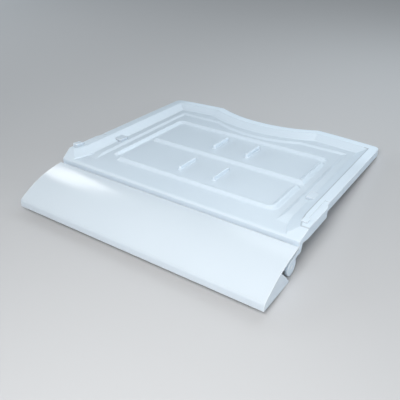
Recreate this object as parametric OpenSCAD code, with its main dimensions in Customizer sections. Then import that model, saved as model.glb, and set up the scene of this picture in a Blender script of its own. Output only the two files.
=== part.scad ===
// Refrigerator shelf: a moulded tray with a raised rim on three sides and a
// hinged front flap. Lengths are millimetres. While the pieces are drawn, X
// runs across the shelf, Y runs back from its front edge and Z is zero on the
// tray floor; place() then sets the whole model on its base centre.

/* [Shelf] */
// Width between the side faces
shelf_w = 470; // [400:5:560]
// Depth from the front edge to the crown of the bowed back edge
shelf_d = 380; // [340:5:440]
// Radius of the bowed back edge
back_bow_r = 1670; // [1300:10:2400]
// Radius of the two back corners in plan
corner_r = 12; // [6:1:18]
// Thickness of the moulded shell
wall = 2.5; // [2:0.1:3]
// Depth of the outer wall below the tray floor
wall_drop = 3.2; // [3:0.1:6]

/* [Rim] */
// Height of the rim above the tray floor
rim_h = 11; // [9:0.5:15]
// Width of the flat top of the rim
rim_flat = 16; // [12:0.5:20]
// Width of the gentle slope inside the flat top
rim_slope = 13.5; // [10:0.5:16]
// Height of the rim's inner edge above the tray floor
rim_edge_h = 4.6; // [4:0.1:6]
// Width of the last fall from the inner edge to the ledge
rim_foot = 5.5; // [4:0.5:8]
// Length of the ramp at the front end of each side rail
ramp_l = 21.5; // [16:0.5:28]
// Length of the front part of each rail that curves away from the tray
rail_sweep_l = 62; // [50:1:75]
// Radius of that curve at the foot of the rail
rail_sweep_r = 130; // [120:5:200]

/* [Front Flare] */
// Extra width on each side of the front part of the shelf
flare = 3.3; // [2:0.1:5]
// Depth of the flared part behind the front edge
flare_l = 93; // [80:1:110]
// Depth of the flared side wall below the tray floor
flare_drop = 8; // [6:0.5:12]
// Width of the shallow rebate along the outer edge of the flared rail
rebate_w = 12; // [8:0.5:14]
// Depth of that rebate
rebate_h = 0.8; // [0.5:0.1:1.2]
// Distance of the rebate from the front edge
rebate_y = 47; // [40:1:55]
// Length of the rebate
rebate_l = 62; // [50:1:75]

/* [Back Notch] */
// Width of the notch between its two shoulders
notch_w = 225; // [180:5:260]
// Depth of the notch
notch_d = 29; // [20:1:36]
// Sideways shift of the notch from the middle of the shelf
notch_x = -8; // [-20:1:20]
// Radius of the two shoulders
shoulder_r = 14; // [8:1:20]

/* [Tray] */
// Height of the ledge between the rim and the recessed floor
ledge_h = 2.4; // [1.5:0.1:3]
// Distance from the side faces to the recessed floor
ledge_w = 53; // [46:1:60]
// Distance from the back crown to the recessed floor
ledge_back = 67; // [60:1:80]
// Width of the forward bulge of the back ledge
bulge_w = 190; // [150:5:230]
// Depth of that bulge
bulge_d = 23; // [16:1:28]
// Width of the slope between the ledge and the recessed floor
ledge_run = 6; // [3:0.5:8]
// Where the side ledges start to rise behind the front edge
fade_start = 30; // [20:1:40]
// Length over which they rise to full height
fade_l = 26; // [15:1:40]

/* [Beads] */
// Width of a bead at its base
bead_w = 16; // [13:0.5:18]
// Width of the middle cross bead at its base
mid_bead_w = 20; // [16:0.5:22]
// Height of the beads
bead_h = 5; // [3.5:0.1:6]
// Distance of the long beads from the middle of the shelf
bead_x = 164; // [150:1:172]
// Distance of the front cross bead from the front edge
front_bead_y = 56; // [50:1:64]
// Distance of the middle cross bead from the front edge
mid_bead_y = 165; // [150:1:180]
// Distance of the back cross bead from the front edge
back_bead_y = 273; // [260:1:278]
// Distance of the left bead's front end from the front edge
left_bead_y = 71; // [66:1:90]
// Distance of the back bead's right end from the middle of the shelf
back_bead_end = 159; // [140:1:166]
// Distance of the cross beads' left ends from the left bead
cross_bead_start = 21.5; // [18:0.5:40]
// Gap between the end of a right bead and the side of the next one
bead_gap = 6.5; // [3:0.5:10]
// Bend radius of the back left bead
bend_r = 14; // [10:1:20]
// Bend radius of the front right bead
small_bend_r = 11; // [10:1:14]

/* [Stop Ribs] */
// Distance between the two ribs of a pair
rib_pitch = 70; // [50:1:100]
// Sideways shift of the ribs from the middle of the shelf
rib_x = 3; // [-10:1:10]
// Height of the two back ribs above the tray floor
back_rib_h = 7.8; // [6:0.1:8]
// Height of the two front ribs above the tray floor
front_rib_h = 6; // [4:0.1:8]
// Thickness of the two back ribs
back_rib_t = 7; // [5:0.5:9]
// Thickness of the two front ribs
front_rib_t = 5; // [4:0.5:8]
// Length of each rib
rib_l = 50; // [30:1:52]
// Distance of the front pair from the front edge
front_rib_y = 82; // [76:1:90]
// Distance of the back pair from the front edge
back_rib_y = 195; // [188:1:200]
// Draft on each side of a rib
rib_draft = 0.7; // [0.3:0.1:1]
// Fillet at the foot of a rib
rib_fillet = 1.2; // [0.5:0.1:2]

/* [Rail Details] */
// Height of the tall catch on the left rail
catch_h = 6; // [4:0.5:8]
// Height of the tall catch behind its sloping top
catch_back_h = 4; // [2:0.5:6]
// Width of the tall catch
catch_w = 9; // [6:0.5:12]
// Length of the tall catch
catch_l = 20; // [14:1:26]
// Distance of the tall catch from the front edge
catch_y = 31; // [28:1:40]
// Height of the low catch on the right rail
low_catch_h = 1.6; // [1:0.1:3]
// Length and width of the low catch
low_catch_w = 10; // [6:1:12]
// Distance of the low catch from the side face
low_catch_in = 4; // [2:0.5:6]
// Width of the tab beside each rail
tab_w = 10.5; // [8:0.5:14]
// Length of the tab
tab_l = 20; // [12:1:26]
// Distance of the tabs from the front edge
tab_y = 113; // [105:1:125]
// Height of the tabs above the tray floor
tab_h = 6.4; // [5:0.1:8]

/* [Underside Ribs] */
// Depth of the stiffening ribs below the tray floor
stiffener_drop = 8.5; // [6:0.5:10]
// Thickness of the stiffening ribs
stiffener_t = 2; // [1.5:0.1:3]
// Number of stiffening ribs that run front to back
stiffener_count = 3; // [1:2:5]
// Distance between those ribs
stiffener_pitch = 110; // [60:5:110]
// Distance of the back cross rib from the front edge
stiffener_back = 286; // [260:1:290]

/* [Hinge] */
// Distance of the hinge axis in front of the shelf's front edge
pivot_reach = 19.7; // [19:0.1:21]
// Depth of the hinge axis below the tray floor
pivot_drop = 34.2; // [33:0.1:35]
// Radius of the round end of each ear
ear_r = 13.6; // [11:0.1:15]
// Thickness of each ear
ear_t = 5; // [4.6:0.1:6]
// Depth below the tray floor where the ear's upper edge leaves the skirt
ear_top_drop = 16; // [15:0.5:20]
// Depth of the front skirt below the tray floor
skirt_drop = 24.8; // [22:0.2:26]
// Length of the skirt's side returns from front to back
skirt_return = 6; // [4:0.5:9]
// Radius of the hinge pins
pin_r = 3.5; // [2.5:0.1:4.5]
// Radial running clearance of the pins in their bores
pin_fit = 0.06; // [0.02:0.01:0.1]
// Length of the pins inside the ears
pin_l = 3.4; // [2.5:0.1:3.5]
// Free space beyond the tip of each pin
pin_tip_gap = 0.4; // [0.2:0.1:0.6]
// Side gap between each ear and the flap's bracket
ear_gap = 0.5; // [0.3:0.1:1]

/* [Flap] */
// Extra width of the flap over the shelf on each side
flap_over = 1.5; // [0.5:0.1:3]
// Thickness of the flap's skin
skin = 2.4; // [2:0.1:3]
// How far the lip stands in front of the shelf's front edge
flap_reach = 103; // [98:1:112]
// Depth of the lip's bottom edge below the tray floor
flap_drop = 54.8; // [53:0.2:60]
// Gap between the flap's top edge and the skirt
top_gap = 4; // [3:0.1:5]
// Depth of the flap's top edge below the tray floor
top_drop = 8.2; // [7:0.1:9]
// Radius of the flap's curved face
face_r = 190; // [150:5:260]
// Depth of the line where the face would meet the lip
nose_drop = 43; // [41:0.5:45]
// Radius of that turn
nose_r = 5; // [4:0.5:7]
// Clearance between the flap's cheeks and the round ears
cheek_gap = 4.6; // [3:0.1:5]
// Thickness of the flap's cheeks
cheek_t = 2.4; // [2:0.1:3]
// Distance of a cheek's rear lower corner in front of the shelf's front edge
cheek_reach = 27; // [26:0.5:30]
// Distance where a cheek's rear edge meets the face, from the front edge
cheek_top_reach = 59; // [54:0.5:64]
// Thickness of the brackets that carry the pins
bracket_t = 3.2; // [2.5:0.1:4]
// Radius of the boss around each pin
boss_r = 8; // [6:0.1:10]
// Gap between each bracket and the skirt, where the flap stops
stop_gap = 0.3; // [0.2:0.1:0.6]
// Number of gussets behind the flap's face
gusset_count = 3; // [1:2:5]
// Depth of the gussets behind the face
gusset_h = 10; // [8:1:14]

/* [Hidden] */
$fn = 64;
arc_steps = 8;
bow_steps = 10;
notch_steps = 30;
bead_steps = 8;
rib_steps = 5;
sweep_a = 55;
bow_a = 20;
notch_a = 90;
cheek_a = 205;
bow_fn = 1080;
wide_fn = 240;
beyond = 20;
below = 60;
sink = 1;
mitre_step = 0.06;
foot_step = 0.3;
graze_step = 0.1;
face_steps = 6;

half_w = shelf_w / 2;
front_half = half_w + flare;
flap_half = half_w + flap_over;
crease = rim_flat + rim_slope;
foot = crease + rim_foot;
foot_break = foot + foot_step;
break_h = ledge_h - foot_step * (rim_edge_h - ledge_h) / rim_foot;
edge_drop = 2.2;
flare_run = 8;
return_draft = 2;
return_chamfer = 2.5;
ramp_a = atan((rim_h + edge_drop) / ramp_l);
pivot = [-pivot_reach, -pivot_drop];

// Circles that draw the back edge: the bow, the notch, shoulders and corners
bow_c = [0, shelf_d - back_bow_r];
notch_r = (pow(notch_w / 2, 2) + pow(notch_d, 2)) / (2 * notch_d);
shoulder_y = shelf_d - pow(notch_w / 2, 2) / (2 * back_bow_r);
notch_c = [notch_x, shoulder_y - notch_d + notch_r];
left_shoulder = meet(bow_c, back_bow_r - shoulder_r, notch_c, notch_r + shoulder_r, 1);
right_shoulder = meet(bow_c, back_bow_r - shoulder_r, notch_c, notch_r + shoulder_r, -1);
corner_y = bow_c[1] + sqrt(pow(back_bow_r - corner_r, 2) - pow(half_w - corner_r, 2));
right_corner = [half_w - corner_r, corner_y];
left_corner = [corner_r - half_w, corner_y];

// Recessed floor and the circle of the bulge behind it
recess_half = half_w - ledge_w;
recess_back = shelf_d - ledge_back;
bulge_r = (pow(bulge_w / 2, 2) + pow(bulge_d, 2)) / (2 * bulge_d);

// The flap's outer side, seen from the side: an arc from the top edge to the
// nose, a small arc round the nose and the upright lip
top_edge = [-top_gap, -top_drop];
nose_line = [-flap_reach, -nose_drop];
half_chord = norm(nose_line - top_edge) / 2;
face_c = (top_edge + nose_line) / 2
    + sqrt(pow(face_r, 2) - pow(half_chord, 2)) * unit(left_of(nose_line - top_edge));
nose_x = nose_r - flap_reach;
nose_c = [nose_x, face_c[1] + sqrt(pow(face_r - nose_r, 2) - pow(nose_x - face_c[0], 2))];
top_a = heading(top_edge - face_c);
nose_a = heading(nose_c - face_c);

// The model stands on its lowest edge, with the middle of its length at zero
back_y = max(left_shoulder[1], right_shoulder[1]) + shoulder_r;
middle_y = (back_y - flap_reach) / 2;

function polar(r, a) = r * [cos(a), sin(a)];
function heading(v) = atan2(v[1], v[0]);
function unit(v) = v / norm(v);
function left_of(v) = [-v[1], v[0]];
function turns_left(u, v) = u[0] * v[1] - u[1] * v[0] > 0;
function arc(c, r, a0, a1, n) = [for (i = [0:n]) c + polar(r, a0 + (a1 - a0) * i / n)];
function inner_arc(c, r, a0, a1, n) = [for (i = [1:n - 1]) c + polar(r, a0 + (a1 - a0) * i / n)];
function backwards(list) = [for (i = [len(list) - 1:-1:0]) list[i]];
function mirrored(list) = [for (p = list) [-p[0], p[1]]];

// Where two circles cross, on the left (1) or right (-1) of the line between them
function meet(c1, r1, c2, r2, side) =
    let (d = norm(c2 - c1), u = (c2 - c1) / d)
    let (a = (r1 * r1 - r2 * r2 + d * d) / (2 * d))
    c1 + a * u + side * sqrt(r1 * r1 - a * a) * left_of(u);

// Point where a line from p grazes the circle c, r, just inside it
function touch(p, c, r, side) =
    c + polar(r - graze_step, heading(p - c) + side * acos((r - graze_step) / norm(p - c)));

// Arc of radius r that rounds corner b of the path a, b, c
function rounded(a, b, c, r) =
    let (u = unit(a - b), v = unit(c - b), half = acos(u * v) / 2)
    let (o = b + unit(u + v) * r / sin(half), start = heading(b + u * r / tan(half) - o))
    let (sweep = turns_left(b - a, c - b) ? 180 - 2 * half : 2 * half - 180)
    arc(o, r, start, start + sweep, arc_steps);

module both_sides() {
    children();
    mirror([1, 0, 0]) children();
}
// Extrudes a side view along X from x, t thick
module plate(x, t) {
    translate([x, 0, 0]) rotate([90, 0, 90]) linear_extrude(t) children();
}
// Round bar along X on the hinge axis
module bar(x, r, l) {
    translate([x, pivot[0], pivot[1]]) rotate([0, 90, 0]) cylinder(r = r, h = l);
}

// Plan outline of the shelf, set in by d all round
function right_side(d) = [
    [half_w - d, d],
    [front_half - d, ramp_l],
    [front_half - d, flare_l],
    [half_w - d, flare_l + flare_run]
];
function back_edge(d) = concat(
    arc(right_corner, corner_r - d, 0, heading(right_corner - bow_c), arc_steps),
    inner_arc(
        bow_c, back_bow_r - d,
        heading(right_corner - bow_c), heading(right_shoulder - bow_c), bow_steps
    ),
    arc(
        right_shoulder, shoulder_r - d,
        heading(right_shoulder - bow_c), heading(notch_c - right_shoulder), arc_steps
    ),
    inner_arc(
        notch_c, notch_r + d,
        heading(right_shoulder - notch_c), heading(left_shoulder - notch_c), notch_steps
    ),
    arc(
        left_shoulder, shoulder_r - d,
        heading(notch_c - left_shoulder), heading(left_shoulder - bow_c), arc_steps
    ),
    inner_arc(
        bow_c, back_bow_r - d,
        heading(left_shoulder - bow_c), heading(left_corner - bow_c), bow_steps
    ),
    arc(left_corner, corner_r - d, heading(left_corner - bow_c), 180, arc_steps)
);
module outline(d) {
    polygon(concat(right_side(d), back_edge(d), backwards(mirrored(right_side(d)))));
}

// Side view of the shelf's body, and of the hollow under its skin
return_edge = [
    [skirt_return + return_draft, -flare_drop],
    [skirt_return, return_chamfer - skirt_drop],
    [skirt_return - return_chamfer, -skirt_drop]
];
module body_side() {
    polygon(concat(
        [
            [0, -skirt_drop],
            [0, -edge_drop],
            [ramp_l, rim_h],
            [shelf_d, rim_h],
            [shelf_d, -wall_drop],
            [flare_l + flare_run, -wall_drop],
            [flare_l, -flare_drop]
        ],
        return_edge
    ));
}
module hollow_side() {
    inner_drop = edge_drop + wall / cos(ramp_a);
    inner_h = rim_h - wall;
    polygon([
        [0, -below],
        [0, -inner_drop],
        [(inner_h + inner_drop) / tan(ramp_a), inner_h],
        [shelf_d, inner_h],
        [shelf_d, -below]
    ]);
}

// Rim section: x runs inward from the outer face, y is the height. It is open
// upward over the flat top, because the rim is drawn by what it keeps full.
module rim_section(d) {
    translate([-d / 2, 0]) polygon([
        [-beyond, ledge_h - rim_edge_h],
        [-beyond, below],
        [rim_flat, below],
        [rim_flat, rim_h],
        [crease, rim_edge_h],
        [foot_break, break_h],
        [foot_break + rim_foot / 2, ledge_h - rim_edge_h]
    ]);
}
module side_rail(d) {
    translate([half_w, shelf_d + beyond, 0]) rotate([90, 0, 0])
        linear_extrude(shelf_d + beyond - rail_sweep_l)
        mirror([1, 0]) rim_section(d);
    translate([half_w - foot + rail_sweep_r, rail_sweep_l, 0]) rotate([0, 0, 180])
        rotate_extrude(angle = sweep_a, $fn = wide_fn)
        translate([rail_sweep_r - foot, 0]) rim_section(d);
}
module bow_rim(d) {
    translate(bow_c) rotate([0, 0, 90 - bow_a / 2])
        rotate_extrude(angle = bow_a, $fn = bow_fn)
        translate([back_bow_r, 0]) mirror([1, 0]) rim_section(d);
}
module notch_rim(d) {
    translate(notch_c) rotate([0, 0, 270 - notch_a / 2])
        rotate_extrude(angle = notch_a, $fn = wide_fn)
        translate([notch_r, 0]) rim_section(d);
}

// Ledge between the rim and the recessed floor
module ledge(d) {
    difference() {
        plate(-half_w - sink, shelf_w + 2 * sink) polygon([
            [fade_start, -sink],
            [fade_start, 0],
            [fade_start + fade_l, ledge_h],
            [shelf_d + sink, ledge_h],
            [shelf_d + sink, -sink]
        ]);
        difference() {
            recess(recess_half + d, recess_back + d);
            translate([0, recess_back - bulge_d + bulge_r, -ledge_h])
                cylinder(
                    r1 = bulge_r - d + ledge_run, r2 = bulge_r - d - 2 * ledge_run,
                    h = 3 * ledge_h, $fn = wide_fn
                );
        }
    }
}
// Space over the recessed floor, with sloping sides that meet in mitres
module recess(half, back) {
    intersection() {
        translate([0, shelf_d, 0]) rotate([90, 0, 0]) linear_extrude(shelf_d + beyond) polygon([
            [ledge_run - half, -ledge_h],
            [-half - 2 * ledge_run, 2 * ledge_h],
            [half + 2 * ledge_run, 2 * ledge_h],
            [half - ledge_run, -ledge_h]
        ]);
        plate(-half_w, shelf_w) polygon([
            [-sink, -ledge_h],
            [-sink, 2 * ledge_h],
            [back + 2 * ledge_run, 2 * ledge_h],
            [back - ledge_run, -ledge_h]
        ]);
    }
}

// Free space over the tray, down to its floor, made wider for a skin of thickness d
module tray_space(d) {
    difference() {
        translate([-half_w, -beyond, 0]) cube([shelf_w, shelf_d + 2 * beyond, beyond]);
        side_rail(d);
        mirror([1, 0, 0]) side_rail(d);
        translate([0, 0, mitre_step]) bow_rim(d);
        translate([0, 0, 2 * mitre_step]) notch_rim(d);
        ledge(d);
    }
}

// Bead pieces of base width w, with a wave for a section: round on top, soft at the foot
module bead_section(w) {
    polygon(concat(
        [[-w / 2, -sink]],
        [
            for (i = [0:bead_steps])
                [w * (i / bead_steps - 0.5), bead_h * (1 - cos(360 * i / bead_steps)) / 2]
        ],
        [[w / 2, -sink]]
    ));
}
module bead_leg(p, q, w) {
    translate(p) rotate([0, 0, heading(q - p)]) plate(0, norm(q - p)) bead_section(w);
}
module bead_end(p, w) {
    translate(p) rotate_extrude() intersection() {
        bead_section(w);
        translate([0, -below]) square(2 * below);
    }
}
module bead_bend(c, r, a, w) {
    translate(c) rotate([0, 0, a]) rotate_extrude(angle = 90)
        translate([r, 0]) bead_section(w);
}
// Mitred corner between a leg along X of width w1 and one along Y of width w2
module bead_corner(p, w1, w2) {
    intersection() {
        bead_leg(p - [w2, 0], p + [w2, 0], w1);
        bead_leg(p - [0, w1], p + [0, w1], w2);
    }
}

// The three beads on the tray floor, each flank set in by d
module beads(d) {
    w = bead_w - 2 * d;
    mid_w = mid_bead_w - 2 * d;
    start_x = cross_bead_start - bead_x;

    bead_end([-bead_x, left_bead_y], w);
    bead_leg([-bead_x, left_bead_y], [-bead_x, back_bead_y - bend_r], w);
    bead_bend([bend_r - bead_x, back_bead_y - bend_r], bend_r, 90, w);
    bead_leg([bend_r - bead_x, back_bead_y], [back_bead_end, back_bead_y], w);
    bead_end([back_bead_end, back_bead_y], w);

    mid_end_y = back_bead_y - bead_w - bead_gap;
    bead_end([start_x, mid_bead_y], mid_w);
    bead_leg([start_x, mid_bead_y], [bead_x, mid_bead_y], mid_w);
    bead_corner([bead_x, mid_bead_y], mid_w, w);
    bead_leg([bead_x, mid_bead_y], [bead_x, mid_end_y], w);
    bead_end([bead_x, mid_end_y], w);

    front_end_y = mid_bead_y - (mid_bead_w + bead_w) / 2 - bead_gap;
    bead_end([start_x, front_bead_y], w);
    bead_leg([start_x, front_bead_y], [bead_x - small_bend_r, front_bead_y], w);
    bead_bend([bead_x - small_bend_r, front_bead_y + small_bend_r], small_bend_r, -90, w);
    bead_leg([bead_x, front_bead_y + small_bend_r], [bead_x, front_end_y], w);
    bead_end([bead_x, front_end_y], w);
}

// Right side of a stop rib's section, t thick and h high, up to the angle a of
// its round top
function rib_edge(t, h, a) = concat(
    rib_foot(t), arc([0, h - t / 2 + rib_draft], t / 2 - rib_draft, 0, a, rib_steps)
);
function rib_foot(t) = [
    [t / 2 + rib_fillet, -sink],
    [t / 2 + rib_fillet, 0],
    [t / 2, rib_fillet]
];

// Upright stop rib that starts at y: its front end is round, its back end square
module stop_rib(y, t, h) {
    long = rib_l - t / 2;
    translate([rib_pitch / 2, y + t / 2, 0]) {
        rotate([0, 0, 180]) rotate_extrude(angle = 180)
            polygon(concat([[0, -sink]], rib_edge(t, h, 90)));
        translate([0, long, 0]) rotate([90, 0, 0]) linear_extrude(long)
            polygon(concat(rib_edge(t, h, 180), backwards(mirrored(rib_foot(t)))));
    }
}

// Tall catch with a sloping top, and the low one opposite
module catches() {
    back = catch_y + catch_l;
    plate(-front_half, catch_w) polygon([
        [catch_y, rim_h - sink],
        [catch_y, rim_h + catch_h],
        [back - catch_back_h, rim_h + catch_back_h],
        [back, rim_h],
        [back, rim_h - sink]
    ]);
    translate([half_w - low_catch_in - low_catch_w, catch_y, rim_h - sink])
        cube([low_catch_w, low_catch_w, low_catch_h + sink]);
}
module rail_tab() {
    outer = half_w - rim_flat - (rim_h - tab_h) * rim_slope / (rim_h - rim_edge_h);
    translate([outer + sink - rim_foot - tab_w, tab_y, 0])
        cube([tab_w + rim_foot, tab_l, tab_h]);
}
module rebate() {
    translate([front_half - rebate_w, rebate_y, rim_h - rebate_h])
        cube([rebate_w + beyond, rebate_l, beyond]);
}

// Grid of thin ribs under the tray floor
module stiffeners() {
    depth = stiffener_drop - sink;
    first = -stiffener_pitch * (stiffener_count - 1) / 2;
    for (i = [0:stiffener_count - 1])
        translate([first + i * stiffener_pitch - stiffener_t / 2, sink, -stiffener_drop])
            cube([stiffener_t, stiffener_back - sink, depth]);
    for (i = [1:2])
        translate([-recess_half, stiffener_back * i / 2 - stiffener_t, -stiffener_drop])
            cube([2 * recess_half, stiffener_t, depth]);
}

// Ear that carries one end of the hinge, flush with the side face
module ear() {
    ear_top = [0, -ear_top_drop];
    neck = [-skirt_return / 2, -skirt_drop];
    plate(half_w - ear_t, ear_t) polygon(concat(
        [
            [0, -flare_drop],
            ear_top,
            touch(ear_top, pivot, ear_r, 1),
            pivot,
            touch(neck, pivot, ear_r, 0),
            neck
        ],
        backwards(return_edge)
    ));
    bar(half_w - ear_t, ear_r, ear_t);
}
module ear_bore() {
    bar(half_w - ear_t - sink, pin_r + pin_fit, sink + pin_l + pin_tip_gap);
}

module shelf_solid() {
    difference() {
        intersection() {
            translate([0, 0, -below]) linear_extrude(2 * below) outline(0);
            plate(-half_w - beyond, shelf_w + 2 * beyond) body_side();
        }
        tray_space(0);
    }
    beads(0);
}
module shelf_hollow() {
    difference() {
        intersection() {
            translate([0, 0, -2 * below]) linear_extrude(3 * below) outline(wall);
            plate(-half_w - beyond, shelf_w + 2 * beyond) hollow_side();
        }
        translate([0, 0, -wall]) tray_space(wall);
    }
    translate([0, 0, -wall]) beads(wall / 2);
}

module shelf() {
    color([0.9, 0.92, 0.94]) place() difference() {
        union() {
            difference() {
                shelf_solid();
                shelf_hollow();
                both_sides() rebate();
            }
            both_sides() {
                rail_tab();
                ear();
            }
            translate([rib_x, 0, 0]) both_sides() {
                stop_rib(front_rib_y, front_rib_t, front_rib_h);
                stop_rib(back_rib_y, back_rib_t, back_rib_h);
            }
            catches();
            stiffeners();
        }
        both_sides() ear_bore();
    }
}

// Point d behind the flap's face at a given distance from the front edge
function on_face(reach, d) =
    [-reach, face_c[1] + sqrt(pow(face_r - d, 2) - pow(reach + face_c[0], 2))];
function behind_face(first, last, d) =
    [for (i = [0:face_steps]) on_face(first + (last - first) * i / face_steps, d)];

// All that lies d or more behind the flap's outer side, e past its two ends
module behind_flap(d, e) {
    start = top_a - e;
    low = -flap_drop - e;
    intersection() {
        translate(face_c) circle(r = face_r - d, $fn = bow_fn);
        polygon(concat(
            [
                face_c + polar((low - face_c[1]) / sin(start), start),
                face_c + polar(face_r + beyond, start),
                face_c + polar(face_r + beyond, nose_a),
                nose_c + polar(nose_r - d - graze_step, nose_a)
            ],
            [
                for (i = [1:arc_steps])
                    nose_c + polar(nose_r - d, nose_a + (180 - nose_a) * i / arc_steps)
            ],
            [[d - flap_reach, low]]
        ));
    }
}
module skin_side() {
    difference() {
        behind_flap(0, 0);
        behind_flap(skin, sink);
    }
}
module cheek_side() {
    clear_r = ear_r + cheek_gap;
    low = [-cheek_reach, -flap_drop];
    low_a = heading(low + [-skin, skin * 2] - pivot);
    rear = pivot + polar(clear_r, cheek_a);
    rear_top = on_face(cheek_top_reach, 0);
    above = rear_top + beyond * unit(rear_top - rear);
    ahead = -flap_reach - beyond;
    intersection() {
        behind_flap(0, sink);
        polygon(concat(
            [above, [ahead, above[1]], [ahead, -flap_drop]],
            rounded([ahead, -flap_drop], low, pivot + polar(clear_r, low_a), cheek_t),
            arc(pivot, clear_r, low_a, cheek_a - 360, arc_steps)
        ));
    }
}
module bracket_side() {
    pad_top = [-stop_gap, -top_drop - skin - sink];
    pad_low = [-stop_gap, -skirt_drop + cheek_gap];
    first = top_gap + skin;
    last = pivot_reach + 2 * ear_r + cheek_gap;
    front = on_face(last, skin / 2);
    polygon(concat(
        [touch(front, pivot, boss_r, 1)],
        backwards(behind_face(first, last, skin / 2)),
        [pad_top, pad_low, touch(pad_low, pivot, boss_r, -1), pivot]
    ));
}
module gusset_side() {
    deep = skin + gusset_h;
    low = skin - flap_drop;
    polygon(concat(
        behind_face(top_gap + gusset_h, flap_reach - 2 * nose_r, skin / 2),
        [
            nose_c + polar(nose_r - skin / 2, (nose_a + 180) / 2),
            [skin / 2 - flap_reach, nose_c[1]],
            [skin / 2 - flap_reach, low],
            [skin - flap_reach, low],
            [deep - flap_reach, low + gusset_h]
        ],
        backwards(behind_face(top_gap + 2 * gusset_h, flap_reach - deep, deep))
    ));
}

module flap() {
    bracket_x = half_w - ear_t - ear_gap - bracket_t;
    gusset_pitch = 2 * flap_half / (gusset_count + 1);
    color([0.95, 0.96, 0.97]) place() {
        plate(-flap_half, 2 * flap_half) skin_side();
        both_sides() {
            plate(flap_half - cheek_t, cheek_t) cheek_side();
            plate(bracket_x, bracket_t) bracket_side();
            bar(bracket_x, boss_r, bracket_t);
            bar(bracket_x, pin_r, bracket_t + ear_gap + pin_l);
        }
        for (i = [1:gusset_count])
            plate(i * gusset_pitch - flap_half - cheek_t / 2, cheek_t) gusset_side();
    }
}

module place() {
    translate([0, -middle_y, flap_drop]) children();
}

shelf();
flap();
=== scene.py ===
import bpy
from mathutils import Matrix, Vector


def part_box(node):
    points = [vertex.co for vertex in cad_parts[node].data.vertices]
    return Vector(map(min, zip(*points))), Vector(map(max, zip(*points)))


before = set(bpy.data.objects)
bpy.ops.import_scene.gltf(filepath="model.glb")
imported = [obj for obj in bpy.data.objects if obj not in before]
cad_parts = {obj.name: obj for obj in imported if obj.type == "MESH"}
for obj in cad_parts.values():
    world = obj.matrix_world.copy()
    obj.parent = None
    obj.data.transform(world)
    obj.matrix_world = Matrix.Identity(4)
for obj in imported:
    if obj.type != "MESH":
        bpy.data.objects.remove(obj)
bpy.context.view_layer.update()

# The camera stands in front of the shelf and to its right, and looks down on
# it. Its place and turn were fitted to the four corners of the tray.
photo_width = 400
half_pixel = 0.5 / photo_width
camera_place = (0.4439, -0.7159, 0.4570)
camera_right = Vector((0.8325, 0.5537, 0.0184))
camera_down = Vector((0.2873, -0.4030, -0.8689))
camera_ahead = Vector((-0.4737, 0.7286, -0.4946))

camera_data = bpy.data.cameras.new("camera")
camera_data.sensor_width = 36.0
camera_data.lens = 46.35
camera_data.shift_x = -half_pixel
camera_data.shift_y = half_pixel
camera_data.clip_start = 0.02
camera_data.clip_end = 20.0
camera = bpy.data.objects.new("camera", camera_data)
camera_turn = Matrix((camera_right, -camera_down, -camera_ahead)).transposed()
camera.matrix_world = Matrix.Translation(camera_place) @ camera_turn.to_4x4()
bpy.context.scene.collection.objects.link(camera)
bpy.context.scene.camera = camera

# The table top is a plain pale sheet. The part stands on the lower corners of
# the flap's cheeks and on the foot of the back rim. The tray is drawn level,
# so the sheet slopes instead, by about 7 degrees.
cheek_corner_inset = 0.0297
rim_foot_z = 0.0516
floor_reach = 6.0
floor_gap = 0.0003
table_tint = (0.50, 0.515, 0.54)

flap_low, flap_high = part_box("flap")
shelf_low, shelf_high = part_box("shelf")
cheek_corner_y = flap_high.y - cheek_corner_inset
floor_slope = (rim_foot_z - flap_low.z) / (shelf_high.y - cheek_corner_y)


def floor_height(y):
    return flap_low.z + (y - cheek_corner_y) * floor_slope - floor_gap


floor_corners = [
    (x, y, floor_height(y))
    for y in (-floor_reach, floor_reach)
    for x in (-floor_reach, floor_reach)
]
floor_mesh = bpy.data.meshes.new("table_top")
floor_mesh.from_pydata(floor_corners, [], [(0, 1, 3, 2)])
floor = bpy.data.objects.new("table_top", floor_mesh)
bpy.context.scene.collection.objects.link(floor)

table_paint = bpy.data.materials.new("table_paint")
table_paint.use_nodes = True
paint = table_paint.node_tree.nodes["Principled BSDF"]
paint.inputs["Base Color"].default_value = (*table_tint, 1.0)
paint.inputs["Roughness"].default_value = 0.9
paint.inputs["Specular IOR Level"].default_value = 0.1
floor_mesh.materials.append(table_paint)

# The shelf is one injection moulding of white plastic. Its faces are satin,
# from a fine grain in the mould, and its edges are slightly rounded.
shelf_tint = (0.61, 0.715, 0.82)
shelf_deep_tint = (0.595, 0.70, 0.805)
# Painted highlight on thin edges, as a share of the way from the tint to white
shelf_edge_highlight = 0.45
shelf_roughness = 0.33
shelf_edge_radius = 0.0009
shelf_grain_depth = 0.00012
plastic_ior = 1.49
thin_wall = 0.0018
crease_reach = 0.006
# Painted shade in creases, as a share of the tint
painted_crease_shade = 0.74
cloud_scale = 9.0
mark_scale = 70.0
mark_spread = 0.12
ripple_scale = 22.0
ripple_height = 0.002
grain_scale = 1800.0


def scaled(tint, factor):
    return tuple(factor * part for part in tint)


def coordinates(tree, kind):
    return tree.nodes.new("ShaderNodeTexCoord").outputs[kind]


def along_axes(tree, kind):
    split = tree.nodes.new("ShaderNodeSeparateXYZ")
    tree.links.new(coordinates(tree, kind), split.inputs["Vector"])
    return split.outputs


def noise(tree, scale, detail):
    node = tree.nodes.new("ShaderNodeTexNoise")
    node.inputs["Scale"].default_value = scale
    node.inputs["Detail"].default_value = detail
    tree.links.new(coordinates(tree, "Object"), node.inputs["Vector"])
    return node.outputs["Fac"]


# Goes from low to high while the value goes from start to end
def ramp(tree, value, start, end, low=0.0, high=1.0):
    node = tree.nodes.new("ShaderNodeMapRange")
    node.inputs["From Min"].default_value = start
    node.inputs["From Max"].default_value = end
    node.inputs["To Min"].default_value = low
    node.inputs["To Max"].default_value = high
    tree.links.new(value, node.inputs["Value"])
    return node.outputs["Result"]


def above(tree, value, limit, fade):
    return ramp(tree, value, limit - fade, limit + fade)


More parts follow.
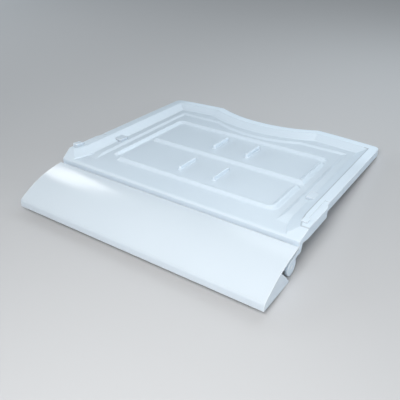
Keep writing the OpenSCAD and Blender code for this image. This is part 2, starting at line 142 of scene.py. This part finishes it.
def below(tree, value, limit, fade):
    return ramp(tree, value, limit - fade, limit + fade, low=1.0, high=0.0)


def product(tree, first, *others):
    for other in others:
        node = tree.nodes.new("ShaderNodeMath")
        node.operation = "MULTIPLY"
        tree.links.new(first, node.inputs[0])
        tree.links.new(other, node.inputs[1])
        first = node.outputs["Value"]
    return first


def blend(tree, colour, special, share):
    node = tree.nodes.new("ShaderNodeMixRGB")
    node.inputs["Color2"].default_value = (*special, 1.0)
    tree.links.new(colour, node.inputs["Color1"])
    tree.links.new(share, node.inputs["Fac"])
    return node.outputs["Color"]


# How far a point is hemmed in by the part, in front of its face or behind it
def hemmed_in(tree, distance, inside, nearly_free):
    node = tree.nodes.new("ShaderNodeAmbientOcclusion")
    node.samples = 16
    node.inside = inside
    node.only_local = True
    node.inputs["Distance"].default_value = distance
    return ramp(tree, node.outputs["AO"], start=0.45, end=nearly_free, low=1.0, high=0.0)


def bump(tree, height, normal, distance, strength):
    node = tree.nodes.new("ShaderNodeBump")
    node.inputs["Distance"].default_value = distance
    node.inputs["Strength"].default_value = strength
    tree.links.new(height, node.inputs["Height"])
    tree.links.new(normal, node.inputs["Normal"])
    return node.outputs["Normal"]


# The tint changes slowly, as in any thin white moulding. Thin edges get a painted
# highlight, and creases get painted shade.
def plastic_colour(tree, tint, deep_tint, edge_highlight):
    clouds = tree.nodes.new("ShaderNodeValToRGB")
    clouds.color_ramp.elements[0].position = 0.32
    clouds.color_ramp.elements[0].color = (*deep_tint, 1.0)
    clouds.color_ramp.elements[1].position = 0.68
    clouds.color_ramp.elements[1].color = (*tint, 1.0)
    tree.links.new(noise(tree, cloud_scale, detail=3.0), clouds.inputs["Fac"])
    # Thin edges get a painted highlight
    painted_highlight_tint = [part + edge_highlight * (1.0 - part) for part in tint]
    edges = hemmed_in(tree, thin_wall, inside=True, nearly_free=0.9)
    with_edges = blend(tree, clouds.outputs["Color"], painted_highlight_tint, edges)
    # Creases get painted shade
    creases = hemmed_in(tree, crease_reach, inside=False, nearly_free=0.97)
    return blend(tree, with_edges, scaled(tint, painted_crease_shade), creases)


# Handling marks make small patches a little smoother or duller
def worn_roughness(tree, roughness):
    marks = noise(tree, mark_scale, detail=5.0)
    smooth = roughness * (1.0 - mark_spread)
    dull = roughness * (1.0 + mark_spread)
    return ramp(tree, marks, start=0.3, end=0.7, low=smooth, high=dull)


def rounded_edges(tree, radius):
    node = tree.nodes.new("ShaderNodeBevel")
    node.samples = 8
    node.inputs["Radius"].default_value = radius
    return node


# The slow ripples of a cooled moulding lie over its rounded edges, and the
# grain of the mould lies over both.
def moulded_skin(tree, colour, edges, roughness, grain_depth):
    ripples = noise(tree, ripple_scale, detail=1.0)
    rippled = bump(tree, ripples, edges.outputs["Normal"], ripple_height, strength=0.06)
    grain = noise(tree, grain_scale, detail=2.0)
    grained = bump(tree, grain, rippled, grain_depth, strength=0.25)
    skin = tree.nodes["Principled BSDF"].inputs
    skin["IOR"].default_value = plastic_ior
    tree.links.new(colour, skin["Base Color"])
    tree.links.new(worn_roughness(tree, roughness), skin["Roughness"])
    tree.links.new(grained, skin["Normal"])


# The rim's level top gets painted light: most at the back, a little on the right
# and none on the left. A fine painted shadow runs along the right rim's inner edge.
# Facings are cosines of the slope: 15 degrees is level, past 34 is steep.
catch_height = 0.006
rim_top_z = shelf_high.z - catch_height
rim_top_depth = 0.0012
line_depth = 0.0011
line_height = 0.0003
fine_fade = 0.0001
back_rim_y = shelf_high.y - 0.095
back_rim_fade = 0.025
left_rim_x = shelf_low.x + 0.025
left_rim_fade = 0.015
right_rim_x = shelf_high.x - 0.029
right_rim_fade = 0.001
level_facing = 0.965
level_fade = 0.015
steep_facing = 0.825
steep_fade = 0.025
right_rim_share = 0.3
# Painted light on the rim's level top, as a multiple of the tint
rim_painted_light = 1.24
# Painted shadow in the line along the right rim's inner edge, as a multiple of the tint
rim_painted_shadow = 0.72


def rim_with_painted_light_and_shadow(tree, colour):
    point = along_axes(tree, "Object")
    facing = along_axes(tree, "Normal")
    back_start = back_rim_y - back_rim_fade
    back_end = back_rim_y + back_rim_fade
    # Painted light on the rim's level top
    painted_light_mask = product(
        tree,
        above(tree, point["Z"], rim_top_z - rim_top_depth, fine_fade),
        above(tree, facing["Z"], level_facing, level_fade),
        above(tree, point["X"], left_rim_x, left_rim_fade),
        ramp(tree, point["Y"], back_start, back_end, low=right_rim_share),
    )
    # Painted shadow of a small step along the right rim's inner edge
    painted_shadow_mask = product(
        tree,
        above(tree, point["Z"], rim_top_z - line_depth, fine_fade),
        below(tree, point["Z"], rim_top_z + line_height, fine_fade),
        below(tree, facing["Z"], level_facing, level_fade),
        above(tree, facing["Z"], steep_facing, steep_fade),
        above(tree, point["X"], right_rim_x, right_rim_fade),
    )
    with_painted_light = blend(tree, colour, scaled(shelf_tint, rim_painted_light), painted_light_mask)
    return blend(tree, with_painted_light, scaled(shelf_tint, rim_painted_shadow), painted_shadow_mask)


# The ears and the tray's front edge are rounded much more than the rest
ear_reach = 0.0333
front_edge_y = shelf_low.y + ear_reach
front_depth = 0.0045
front_fade = 0.0015
front_swell = 4.5


def swollen_front(tree):
    start = front_edge_y + front_depth - front_fade
    end = front_edge_y + front_depth + front_fade
    widest = front_swell * shelf_edge_radius
    y = along_axes(tree, "Object")["Y"]
    return ramp(tree, y, start, end, low=widest, high=shelf_edge_radius)


shelf_plastic = bpy.data.materials.new("shelf_plastic")
shelf_plastic.use_nodes = True
shelf_tree = shelf_plastic.node_tree
shelf_plain = plastic_colour(shelf_tree, shelf_tint, shelf_deep_tint, shelf_edge_highlight)
shelf_colour = rim_with_painted_light_and_shadow(shelf_tree, shelf_plain)
shelf_edges = rounded_edges(shelf_tree, shelf_edge_radius)
shelf_tree.links.new(swollen_front(shelf_tree), shelf_edges.inputs["Radius"])
moulded_skin(shelf_tree, shelf_colour, shelf_edges, shelf_roughness, shelf_grain_depth)
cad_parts["shelf"].material_slots[0].material = shelf_plastic

# The flap is a second moulding, polished in the mould to a gloss. Its grain is
# finer than the shelf's, and its painted edge highlight is weaker.
flap_tint = (0.605, 0.69, 0.775)
flap_deep_tint = (0.595, 0.68, 0.765)
# Painted highlight on the flap's thin edges, weaker than on the shelf
flap_edge_highlight = 0.35
flap_roughness = 0.18
flap_edge_radius = 0.0010
flap_grain_depth = 0.00003

flap_plastic = bpy.data.materials.new("flap_plastic")
flap_plastic.use_nodes = True
flap_tree = flap_plastic.node_tree
flap_colour = plastic_colour(flap_tree, flap_tint, flap_deep_tint, flap_edge_highlight)
flap_edges = rounded_edges(flap_tree, flap_edge_radius)
moulded_skin(flap_tree, flap_colour, flap_edges, flap_roughness, flap_grain_depth)
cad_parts["flap"].material_slots[0].material = flap_plastic

# The studio has a warm key box at the front and a weaker one to its right. Wide
# low boxes light slopes and edges, two high ones behind light the rims, and the
# flap's gloss mirrors a small one on the left. The room's own light is faint.
light_aim = Vector((0.0, -0.02, 0.04))
warm_white = (1.0, 0.97, 0.93)
cool_white = (0.90, 0.97, 1.0)
plain_white = (1.0, 1.0, 1.0)
room_strength = 0.03


def soft_box(name, towards, distance, size, watts, colour):
    data = bpy.data.lights.new(name, "AREA")
    data.shape = "RECTANGLE"
    data.size, data.size_y = size
    data.energy = watts
    data.color = colour
    box = bpy.data.objects.new(name, data)
    direction = Vector(towards).normalized()
    box.location = light_aim + direction * distance
    box.rotation_euler = direction.to_track_quat("Z", "Y").to_euler()
    bpy.context.scene.collection.objects.link(box)


soft_box("key_front", (0.242, -0.751, 0.614), 1.24, (0.6, 0.6), 12.1, warm_white)
soft_box("fill_right", (0.557, -0.557, 0.616), 1.4, (0.7, 0.7), 3.6, warm_white)
soft_box("fill_left", (-0.978, 0.0, 0.208), 2.6, (3.8, 0.9), 39.0, cool_white)
soft_box("fill_back_right", (0.692, 0.692, 0.208), 2.6, (3.8, 0.9), 16.0, cool_white)
soft_box("fill_low_right", (0.94, -0.28, 0.19), 2.6, (2.4, 0.9), 15.0, cool_white)
soft_box("near_back_right", (0.29, 0.55, 0.783), 1.04, (0.6, 0.6), 2.7, cool_white)
soft_box("top_back", (-0.15, 0.66, 0.74), 3.2, (1.6, 1.6), 14.5, cool_white)
soft_box("mirror_light", (-0.758, 0.24, 0.606), 1.58, (0.4, 0.3), 2.0, plain_white)

world = bpy.data.worlds.new("room")
world.use_nodes = True
room = world.node_tree.nodes["Background"]
room.inputs["Color"].default_value = (*plain_white, 1.0)
room.inputs["Strength"].default_value = room_strength
bpy.context.scene.world = world
bpy.context.scene.view_settings.view_transform = "Standard"
